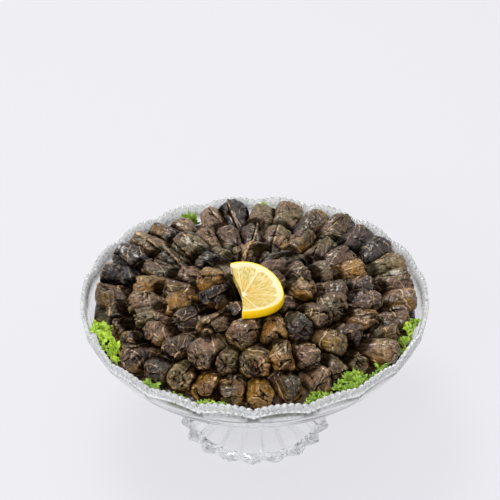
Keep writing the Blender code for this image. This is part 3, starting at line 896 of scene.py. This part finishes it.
# The middle, where no roll ends show, and the rim of the dome, which shows between the outer rolls
CORE_MIDDLE = 20.0
CORE_RIM = 112.0
END_DEPTH = 3.15
core_wall = [(r - GLASS_GAP, z + GLASS_GAP) for r, z in eased(
    ((14.0, 56.6), (36.0, 57.6), (66.0, 62.8), (88.0, 71.4), (105.5, 81.8), (118.5, 92.4),
     (128.6, 103.4)), 5)]
core = turn_form("dolma_core", CORE_COLUMNS, core_wall + eased(CORE_TOP, 4), cap_first=True, cap_last=True)
core_places = places_of(core)
core_painted_shade = np.full(len(core_places), DEEPEST_PAINTED_SHADE)
for i, place in enumerate(core_places):
    radius = math.hypot(place[0], place[1]) / MM
    if i >= len(core_wall) * CORE_COLUMNS or radius < CORE_MIDDLE:
        if radius > CORE_RIM:
            lump = noise.noise(Vector((place[0], place[1], 0)) / (6 * MM))
            core_painted_shade[i] = max(DEEPEST_PAINTED_SHADE, 0.2 + 0.3 * lump)
        continue
    run = sum(math.hypot(b[0] - a[0], b[1] - a[1])
              for a, b in zip(core_wall, core_wall[1:]) if b[0] <= radius + 0.1)
    row = int(run // END_PITCH)
    row_radius = max(30.0, np.interp((row + 0.5) * END_PITCH, RUNS, RUN_RADII))
    count = max(6, round(math.tau * row_radius / (END_PITCH + 1.5)))
    cell = (math.atan2(place[1], place[0]) / math.tau * count + 0.5 * (row % 2)) % 1.0 - 0.5
    out = min(1.0, math.hypot(cell, (run / END_PITCH) % 1.0 - 0.5) / 0.5)
    lump = noise.noise(Vector(place) / (4 * MM))
    depth = END_DEPTH * (1 - math.sqrt(max(0.0, 1 - out ** 2.5))) + 0.35 * abs(lump)
    core_places[i, :2] *= 1 - depth / radius
    core_places[i, 2] += depth * MM
    # Painted shade on each end, darkest at its edge
    core_painted_shade[i] = 0.45 + 0.4 * lump - 0.5 * out ** 3
set_places(core, core_places)
face_outwards(core)
store_values(core.data, relief=core_painted_shade, leaf_edge=0 * core_painted_shade, rice=0 * core_painted_shade,
             gold=0 * core_painted_shade + 0.5, tone=0 * core_painted_shade + 0.5)
map_leaf(core.data, core_places[:, :2] * 100)
smooth_below(core, 60)
print("core has", len(core.data.polygons), "faces")

# %% [markdown]
# ## Cooked vine leaf
#
# A brined and simmered vine leaf is dark olive or plum brown and moist. Oil on it gives a satin gloss that
# looks grey under white light. Some rolls are more golden and some nearly black, veins and torn edges are
# tan, and shade is painted into the creases and the places where rolls touch. What follows the leaf, such as
# its veins, is drawn on the leaf's own centimetres, and the patches of colour, a centimetre or more wide, on
# the object's metres.

# %% Vine leaf material: colour
vine, tree = new_material("simmered vine leaf")
coords = node(tree, "TexCoord")
leaf = node(tree, "UVMap", uv_map="leaf")
relief, edge, rice, tone, gold = [node(tree, "Attribute", attribute_name=name)
                                  for name in ("relief", "leaf_edge", "rice", "tone", "gold")]

# From blue black over brown to a greyish tan, each more olive or more plum in patches as wide as a roll
hues = node(tree, "TexNoise", {"Vector": coords, "Scale": 34.0, "Detail": 1.0})
olive = node(tree, "MapRange", {"Value": hues, "From Min": 0.42, "From Max": 0.6})
middle_leaf = node(tree, "Mix", {0: olive, 6: "#533a29", 7: "#4c4022"}, data_type="RGBA")
pale_leaf = node(tree, "Mix", {0: olive, 6: "#88694e", 7: "#807047"}, data_type="RGBA")
darker = node(tree, "MapRange", {"Value": tone, "From Max": 0.3})
lighter = node(tree, "MapRange", {"Value": tone, "From Min": 0.3})
dark_leaf = node(tree, "Mix", {0: darker, 6: "#2b282a", 7: middle_leaf}, data_type="RGBA")
base = node(tree, "Mix", {0: lighter, 6: dark_leaf, 7: pale_leaf}, data_type="RGBA")

# Golden patches 13 mm wide, stronger on each roll's painted warm underside, and a reddish mottle of streaks
# 14 mm long and 4 mm wide
patches = node(tree, "TexNoise", {"Vector": coords, "Scale": 75.0, "Detail": 3.0, "Roughness": 0.55})
golden_sum = node(tree, "Math", {0: patches, 1: gold}, operation="ADD")
golden = node(tree, "MapRange", {"Value": golden_sum, "From Min": 0.92, "From Max": 1.5, "To Max": 0.9})
browned = node(tree, "Mix", {0: golden, 6: base, 7: "#9a6c1a"}, data_type="RGBA")
along_leaf = node(tree, "Mapping", {"Vector": leaf, "Scale": (0.7, 2.6, 1.0)})
mottle = node(tree, "TexNoise", {"Vector": along_leaf, "Scale": 1.0, "Detail": 3.0, "Roughness": 0.6})
reddish = node(tree, "MapRange", {"Value": mottle, "From Min": 0.5, "From Max": 0.75, "To Max": 0.2})
warmed = node(tree, "Mix", {0: reddish, 6: browned, 7: "#8f5f43"}, data_type="RGBA")

# %% Vine leaf material: wrinkles
# Wrinkles 4 mm apart run along the leaf in bundles a centimetre wide, and finer ones cross it aslant
flow = node(tree, "TexNoise", {"Vector": leaf, "Scale": 0.9, "Detail": 1.0})
bundle = node(tree, "MapRange", {"Value": flow, "From Min": 0.45, "From Max": 0.62})
ripple = node(tree, "TexWave", {"Vector": leaf, "Scale": 0.8, "Distortion": 3.6, "Detail": 2.0,
                                "Detail Scale": 0.9, "Detail Roughness": 0.55},
              wave_type="BANDS", bands_direction="Y", wave_profile="SIN")
ripple_depth = node(tree, "Math", {0: ripple, 1: bundle}, operation="MULTIPLY")
groove = node(tree, "MapRange", {"Value": ripple, "From Max": 0.36})
groove_part = node(tree, "Mix", {0: bundle, 2: 1.0, 3: groove})
aslant_leaf = node(tree, "Mapping", {"Vector": leaf, "Scale": (2.6, 0.9, 1.0), "Rotation": (0, 0, 0.7)})
second_set = node(tree, "TexNoise", {"Vector": aslant_leaf, "Scale": 1.0, "Detail": 2.0, "Roughness": 0.6,
                                     "Distortion": 0.8})
second_fold = node(tree, "Math", {0: second_set, 1: 0.5}, operation="SUBTRACT")
second_line = node(tree, "Math", {0: second_fold}, operation="ABSOLUTE")
fine_wrinkles = node(tree, "MapRange", {"Value": second_line, "From Max": 0.03})
wrinkles = node(tree, "Math", {0: groove_part.outputs[0], 1: fine_wrinkles}, operation="MINIMUM")

# Painted shade: creases are nearly black and folds lighter
painted_hollow_shade = node(tree, "MapRange", {"Value": relief, "From Min": 0.02, "From Max": 0.62, "To Min": 0.04})
painted_crease_shade = node(tree, "MapRange", {"Value": wrinkles, "To Min": 0.16})
painted_shade_parts = node(tree, "Math", {0: painted_hollow_shade, 1: painted_crease_shade}, operation="MULTIPLY")
painted_shade_colour = node(tree, "Mix", {0: 1.0, 6: warmed, 7: painted_shade_parts}, data_type="RGBA", blend_type="MULTIPLY")

# %% Vine leaf material: veins and edges
# A midrib and side veins 9 mm apart that leave it aslant, about half a millimetre wide
bent = node(tree, "TexNoise", {"Vector": leaf, "Scale": 0.8, "Detail": 2.0})
bend_by = node(tree, "VectorMath", {0: bent.outputs["Color"], 3: 0.5}, operation="SCALE")
bent_leaf = node(tree, "VectorMath", {0: leaf, 1: bend_by}, operation="ADD")
place_on_leaf = node(tree, "SeparateXYZ", {0: bent_leaf})
from_midrib = node(tree, "Math", {0: place_on_leaf}, operation="ABSOLUTE")
aslant = node(tree, "Math", {0: from_midrib, 1: -0.8, 2: place_on_leaf.outputs["Y"]},
              operation="MULTIPLY_ADD")
repeated = node(tree, "Math", {0: aslant, 1: 0.45}, operation="PINGPONG")
nearest_vein = node(tree, "Math", {0: from_midrib, 1: repeated}, operation="MINIMUM")
vein_line = node(tree, "MapRange", {"Value": nearest_vein, "From Min": 0.02, "From Max": 0.045,
                                    "To Min": 1.0, "To Max": 0.0})
vein_shows = node(tree, "MapRange", {"Value": patches, "From Min": 0.42, "From Max": 0.58, "To Max": 0.7})
seen_veins = node(tree, "Math", {0: vein_line, 1: vein_shows}, operation="MULTIPLY")

# A leaf's edge is a tan line 0.8 mm wide, and the mask holds the distance from it
off_edge = node(tree, "Math", {0: edge, 1: 0.5 + 0.45 / EDGE_RANGE}, operation="SUBTRACT")
beside_edge = node(tree, "Math", {0: off_edge}, operation="ABSOLUTE")
edge_band = node(tree, "MapRange", {"Value": beside_edge, "From Min": 0.2 / EDGE_RANGE,
                                    "From Max": 0.58 / EDGE_RANGE, "To Min": 1.0, "To Max": 0.0})
edge_shows = node(tree, "MapRange", {"Value": patches, "From Min": 0.38, "From Max": 0.6, "To Min": 0.3,
                                     "To Max": 0.95})
edge_line = node(tree, "Math", {0: edge_band, 1: edge_shows}, operation="MULTIPLY")
all_lines = node(tree, "Math", {0: seen_veins, 1: edge_line}, operation="MAXIMUM")
# Lines fade in the painted shade
lit_lines = node(tree, "Math", {0: all_lines, 1: painted_hollow_shade}, operation="MULTIPLY")
veined = node(tree, "Mix", {0: lit_lines, 6: painted_shade_colour, 7: "#d3ad7c"}, data_type="RGBA")
coloured = node(tree, "Mix", {0: rice, 6: veined, 7: "#dcbd8e"}, data_type="RGBA")

# %% Vine leaf material: relief and gloss
grain = node(tree, "TexNoise", {"Vector": coords, "Scale": 700.0, "Detail": 4.0, "Roughness": 0.6})
grain_part = node(tree, "Math", {0: grain, 1: 0.12}, operation="MULTIPLY")
folded = node(tree, "Math", {0: ripple_depth, 1: 2.0, 2: fine_wrinkles}, operation="MULTIPLY_ADD")
wrinkled = node(tree, "Math", {0: folded, 1: grain_part}, operation="ADD")
height = node(tree, "Math", {0: all_lines, 1: 0.8, 2: wrinkled}, operation="MULTIPLY_ADD")
bump = node(tree, "Bump", {"Height": height, "Strength": 0.9, "Distance": 0.0005})
gloss = node(tree, "MapRange", {"Value": mottle, "From Min": 0.3, "From Max": 0.7, "To Min": 0.22,
                                "To Max": 0.42})
skin = node(tree, "BsdfPrincipled", {"Base Color": coloured, "Roughness": gloss, "Normal": bump, "IOR": 1.45,
                                     "Coat Weight": 0.4, "Coat Roughness": 0.11})
# Deep between the rolls no light reaches the skin, so it does not shine there
hidden = node(tree, "BsdfDiffuse", {"Color": coloured})
exposed = node(tree, "MapRange", {"Value": relief, "From Min": 0.04, "From Max": 0.4})
surface = node(tree, "MixShader", {0: exposed, 1: hidden, 2: skin})
node(tree, "OutputMaterial", {"Surface": surface})
for piece in [core, *ring_pieces]:
    piece.data.materials.clear()
    piece.data.materials.append(vine)
    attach(piece, "root")
    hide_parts("dolma_heap")
print("vine leaf has", len(tree.nodes), "nodes")

# %% [markdown]
# ## The lemon slice
#
# It is a little more than half of a round slice, cut through the core, lying over the heap so that both
# wings rise from a soft fold. A grid is wrapped round the core as a fan and given its thickness, and then
# the flesh, the raised membranes, the pith and the crowned rind are worked in. The cut edge is slightly
# ragged.

# %% Lemon slice
LEMON_ARCS = 110
LEMON_ROWS = 34
DEPTH_CUTS = 5
SPAN_START, SPAN_END = math.radians(-90), math.radians(108)
MEMBRANES = [(math.radians(a), width)
             for a, width in ((-63, 0.9), (-24, 0.4), (-2, 0.9), (22, 0.8), (62, 1.2), (98, 0.7))]
# Shares of the radius where the rind starts and the flesh ends, and the rind's crown in millimetres
RIND_START = 0.97
FLESH_END = 0.81
RIND_CROWN = 0.9
bpy.ops.object.select_all(action="DESELECT")
bpy.ops.mesh.primitive_grid_add(x_subdivisions=LEMON_ARCS, y_subdivisions=LEMON_ROWS, size=1.0)
lemon = bpy.context.object
lemon.name = lemon.data.name = "lemon_half_slice"
with editing(lemon):
    bpy.ops.mesh.extrude_region_move(TRANSFORM_OT_translate={"value": (0, 0, 1.0)})
with editing(lemon, "EDGE", upright_edges(lemon)):
    bpy.ops.mesh.subdivide(number_cuts=DEPTH_CUTS)

slice_places = places_of(lemon)
slice_masks = np.zeros((len(slice_places), 4))
slice_turns = np.zeros(len(slice_places))
for i, (x, y, z) in enumerate(slice_places):
    share = y + 0.5
    depth = z - 0.5
    ragged = noise.noise((share * 9, x * 3, 4.2))
    cut_edge = max(0.0, 1 - min(abs(x + 0.5), abs(x - 0.5)) * 60)
    angle = SPAN_START + (SPAN_END - SPAN_START) * (x + 0.5) + cut_edge * 0.035 * ragged / max(0.2, share)
    at_rind = share > RIND_START
    distance = LEMON_RADIUS * share + at_rind * (RIND_CROWN * (1 - (2 * depth) ** 2) - RIND_CROWN)
    near, width = min((abs(angle - a) * distance, width) for a, width in MEMBRANES)
    corner = max(0.0, 1 - near / 4.5) if width > 0.5 else 0.0
    flesh = min(1.0, max(0.0, 1 - (share - FLESH_END + 0.09 * corner ** 2) / 0.04))
    membrane = max(0.0, 1 - near / (1.1 * width)) * flesh
    lift = 0.0
    if abs(depth) > 0.45:
        cells = noise.noise((angle * 22, share * 6, 7.7))
        lift = 0.25 * membrane - 0.35 * flesh * (1 - membrane) + 0.3 * cells * flesh * (1 - membrane)
        lift *= math.copysign(1.0, depth)
    across = distance * math.sin(angle)
    across *= math.cos(math.atan(BACK_SLOPE if across > 0 else FRONT_SLOPE))
    slice_places[i] = (LEMON_CORE.x + distance * math.cos(angle), LEMON_CORE.y + across,
                       LEMON_CORE.z + fold_rise(across) + depth * LEMON_THICKNESS + lift)
    slice_masks[i] = share, membrane, abs(depth) < 0.42 and at_rind, flesh
    slice_turns[i] = angle
set_places(lemon, slice_places * MM)
store_values(lemon.data, **dict(zip(("share", "membrane", "outside", "flesh"), slice_masks.T)))
store_values(lemon.data, (-math.pi, math.pi), turn=slice_turns)
with editing(lemon):
    bpy.ops.mesh.remove_doubles(threshold=0.00001)
face_outwards(lemon)
smooth_below(lemon, 50)
print("lemon slice has", len(lemon.data.polygons), "faces")

# %% [markdown]
# ## Lemon
#
# Lemon flesh is a bundle of juice cells that run out from the core, pale gold and a little see-through. The
# pith is cream, and the rind bright yellow and waxy with pores about a millimetre apart. The cells are
# drawn on the turn and the share of the radius, and each part's colour is then laid over the flesh where
# its mask shows.

# %% Lemon material
citrus, tree = new_material("cut lemon")
coords = node(tree, "TexCoord")
share, membrane, turned, outside, flesh_mask = [
    node(tree, "Attribute", attribute_name=name)
    for name in ("share", "membrane", "turn", "outside", "flesh")]
polar = node(tree, "CombineXYZ", {"X": turned, "Y": share})
stretched = node(tree, "Mapping", {"Vector": polar, "Scale": (9.0, 2.5, 1.0)})
juice = node(tree, "TexVoronoi", {"Vector": stretched, "Scale": 2.0, "Randomness": 1.0},
             feature="DISTANCE_TO_EDGE")
cells = node(tree, "MapRange", {"Value": juice, "From Max": 0.22})
ripeness = node(tree, "TexNoise", {"Vector": coords, "Scale": 75.0, "Detail": 4.0, "Roughness": 0.6})
ripe = node(tree, "MapRange", {"Value": ripeness, "From Min": 0.38, "From Max": 0.62})
juicy = node(tree, "Mix", {0: ripe, 6: "#ae9847", 7: "#c09a34"}, data_type="RGBA")
colour = node(tree, "Mix", {0: cells, 6: "#d6c684", 7: juicy}, data_type="RGBA")
# Deeper gold near the core, membranes, pith, heart and rind. Each has its colour and mask, the mask's
# values where it starts and where it is full, and its greatest share
for code, mask, start, full, most in (("#cda22b", share, 0.6, 0.15, 0.7),
                                      ("#decd9c", membrane, 0.0, 1.0, 1.0),
                                      ("#dccfa4", flesh_mask, 0.8, 0.2, 1.0),
                                      ("#f6ecca", share, 0.11, 0.05, 1.0),
                                      ("#ffcf08", share, 0.95, 0.985, 1.0)):
    part = node(tree, "MapRange", {"Value": mask, "From Min": start, "From Max": full, "To Max": most})
    colour = node(tree, "Mix", {0: part, 6: colour, 7: code}, data_type="RGBA")
pores = node(tree, "TexVoronoi", {"Vector": coords, "Scale": 850.0})
pore_depth = node(tree, "Math", {0: pores, 1: outside}, operation="MULTIPLY")
height = node(tree, "Math", {0: cells, 1: 0.6, 2: pore_depth}, operation="MULTIPLY_ADD")
bump = node(tree, "Bump", {"Height": height, "Strength": 0.5, "Distance": 0.0003})
slice_shader = node(tree, "BsdfPrincipled", {
    "Base Color": colour, "Normal": bump, "Roughness": 0.34, "IOR": 1.38, "Subsurface Weight": 0.25,
    "Subsurface Radius": (0.004, 0.003, 0.001), "Subsurface Scale": 0.6})
node(tree, "OutputMaterial", {"Surface": slice_shader})
lemon.data.materials.append(citrus)
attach(lemon, "root")
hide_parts("lemon_slice")

# %% [markdown]
# ## Curly lettuce
#
# The green bits round the rim are torn tufts of frilly lettuce: a soft sheet whose edge is far longer than
# its base, so that it ruffles into small fans with lobed edges. Each tuft is one piece: a grid that is bent
# along the glass, and fans set close together over it. A fan is a grid too, spread round its foot and
# ruffled.

# %% A soft sheet and a frilled fan
LEAF_BASE_RADIUS = 128.0
LEAF_LAYER_STEP = 5.6
LEAF_STAND = 1.2
SHEET_THICKNESS = 0.4
FAN_THICKNESS = 0.35


def heap_top_at(radius):
    """Height of the heap's core at a radius, on which the leaves stand."""
    run = CORE_TOP[::-1]
    return float(np.interp(radius, [p[0] for p in run], [p[1] for p in run]))


def add_grid(columns, rows):
    """A flat grid one unit wide, with its places as an array."""
    bpy.ops.object.select_all(action="DESELECT")
    bpy.ops.mesh.primitive_grid_add(x_subdivisions=columns, y_subdivisions=rows, size=1.0)
    return bpy.context.object, places_of(bpy.context.object)


def thicken(item, thickness):
    """Give a sheet its thickness to both sides and apply it."""
    choose(item)
    solid = item.modifiers.new("thickness", "SOLIDIFY")
    solid.thickness = thickness * MM
    solid.offset = 0.0
    bpy.ops.object.modifier_apply(modifier=solid.name)


def crown_at(part):
    """Outline of a tuft along its width, as the solids have it: lower towards both ends."""
    return math.sin(math.pi * (0.12 + 0.76 * part))


def soft_sheet(middle, width, height, layer, rng):
    """A thin sheet along the glass that waves more towards its upper edge."""
    sheet, places = add_grid(max(24, int(width * 4)), 8)
    base_radius = LEAF_BASE_RADIUS - layer * LEAF_LAYER_STEP
    base_height = heap_top_at(base_radius) + LEAF_STAND
    seed = rng.uniform(0, 50)
    for i, (x, y, _) in enumerate(places):
        part, up = x + 0.5, y + 0.5
        angle = math.radians(middle + width * (part - 0.5))
        rise = 0.8 * height * up * crown_at(part) * (1 + 0.25 * noise.noise((part * 12, seed, 0)))
        run = angle * base_radius
        wave = up * (1.2 * math.sin(run / 1.1 + 3 * noise.noise((run / 7, seed, up)))
                     + 1.2 * noise.noise((run / 4, up * 2, seed)))
        radius = base_radius + 0.3 * rise * (1 if layer == 0 else 0.3) + wave
        places[i] = radius * math.cos(angle), radius * math.sin(angle), base_height + rise
    set_places(sheet, places * MM)
    thicken(sheet, SHEET_THICKNESS)
    return sheet


def frilled_fan(foot_place, heading, size, rng):
    """One frill of the leaf's edge: it stands up from its foot, leans over and ends in small round lobes."""
    fan, places = add_grid(18, 6)
    across, outwards = places[:, 0], places[:, 1] + 0.5
    phases = rng.uniform(0, math.tau), rng.uniform(0, math.tau)
    lobes = 1 + 0.17 * outwards * np.sin(across * rng.uniform(14, 20) + phases[0])
    reach = size * (0.2 + 0.8 * outwards) * lobes
    spread = rng.uniform(1.6, 2.4) * across
    ruffle = 0.2 * size * outwards * np.sin(across * rng.uniform(16, 26) + phases[1])
    lean = rng.uniform(-0.2, 0.9) * outwards ** 1.5
    beside = reach * np.sin(spread)
    upright = reach * np.cos(spread) * np.cos(lean)
    ahead = reach * np.cos(spread) * np.sin(lean) + ruffle
    places[:, 0] = foot_place[0] + ahead * math.cos(heading) - beside * math.sin(heading)
    places[:, 1] = foot_place[1] + ahead * math.sin(heading) + beside * math.cos(heading)
    places[:, 2] = foot_place[2] + upright
    set_places(fan, places * MM)
    thicken(fan, FAN_THICKNESS)
    return fan


# %% Make the tufts
FAN_SPACING = 2.3
YOUNG_LEAVES = {"leaf_left": 1.0, "leaf_right": 0.6, "leaf_back": 0.8, "leaf_back_left": 0.3}
OTHERS_YOUNG = 0.35


def make_tuft(name, middle, width, height, layers, rng):
    """All sheets and fans of one tuft, joined."""
    made = []
    for layer in range(layers):
        layer_width = width * (1 - 0.2 * layer)
        made.append(soft_sheet(middle, layer_width, height, layer, rng))
        radius = LEAF_BASE_RADIUS - layer * LEAF_LAYER_STEP
        run = math.radians(layer_width) * radius
        for number in range(int(run / FAN_SPACING)):
            part = (number + rng.uniform(0.1, 0.9)) * FAN_SPACING / run
            angle = math.radians(middle + layer_width * (part - 0.5))
            size = rng.uniform(3.6, 6.2)
            above_sheet = max(0.0, height * crown_at(part) * rng.uniform(0.5, 1.0) - size)
            out = radius + rng.uniform(-1.5, 2.6)
            foot_height = heap_top_at(radius) + LEAF_STAND + above_sheet
            place = (out * math.cos(angle), out * math.sin(angle), foot_height)
            heading = angle + rng.uniform(-1.2, 1.2) + math.pi * rng.randint(0, 1)
            made.append(frilled_fan(place, heading, size, rng))
    tuft = join_pieces(made, name + "_tuft")
    smooth_below(tuft, 60)
    store_values(tuft.data, young=np.full(len(tuft.data.vertices), YOUNG_LEAVES.get(name, OTHERS_YOUNG)))
    return tuft


gardener = random.Random(23)
tufts = {leaf[0]: make_tuft(*leaf, gardener) for leaf in LEAVES}
print("tufts:", {name: len(tuft.data.polygons) for name, tuft in tufts.items()})

# %% [markdown]
# ## Lettuce leaf
#
# Fresh frilly lettuce is yellow green where it is thin and young, and a deeper green in its folds. Light
# passes through it, so it glows at its edges, and a waxy skin gives it a soft gloss. Its net of veins has
# meshes of about 2 mm.

# %% Lettuce material
lettuce, tree = new_material("fresh frilly lettuce")
coords = node(tree, "TexCoord")
young = node(tree, "Attribute", attribute_name="young")
patches = node(tree, "TexNoise", {"Vector": coords, "Scale": 170.0, "Detail": 3.0})
greens = node(tree, "MapRange", {"Value": patches, "From Min": 0.35, "From Max": 0.65})
green = node(tree, "Mix", {0: greens, 6: "#507c1c", 7: "#9fbf45"}, data_type="RGBA")
yellow = node(tree, "Mix", {0: greens, 6: "#8db51f", 7: "#c6dc3c"}, data_type="RGBA")
aged = node(tree, "Mix", {0: young, 6: green, 7: yellow}, data_type="RGBA")
veins = node(tree, "TexVoronoi", {"Vector": coords, "Scale": 420.0}, feature="DISTANCE_TO_EDGE")
vein_line = node(tree, "MapRange", {"Value": veins, "From Min": 0.02, "From Max": 0.1, "To Min": 0.4,
                                    "To Max": 0.0})
veined = node(tree, "Mix", {0: vein_line, 6: aged, 7: "#c3dc8a"}, data_type="RGBA")
bump = node(tree, "Bump", {"Height": vein_line, "Strength": 0.5, "Distance": 0.0003})
leaf_shader = node(tree, "BsdfPrincipled", {
    "Base Color": veined, "Normal": bump, "Roughness": 0.38, "IOR": 1.42, "Subsurface Weight": 0.3,
    "Subsurface Radius": (0.001, 0.0015, 0.0004), "Subsurface Scale": 0.5})
node(tree, "OutputMaterial", {"Surface": leaf_shader})
for name, _, _, _, layers in LEAVES:
    tuft = tufts[name]
    tuft.data.materials.append(lettuce)
    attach(tuft, "root")
    if layers == 2:
        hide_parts(name, name + "_inner")
    else:
        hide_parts(name)
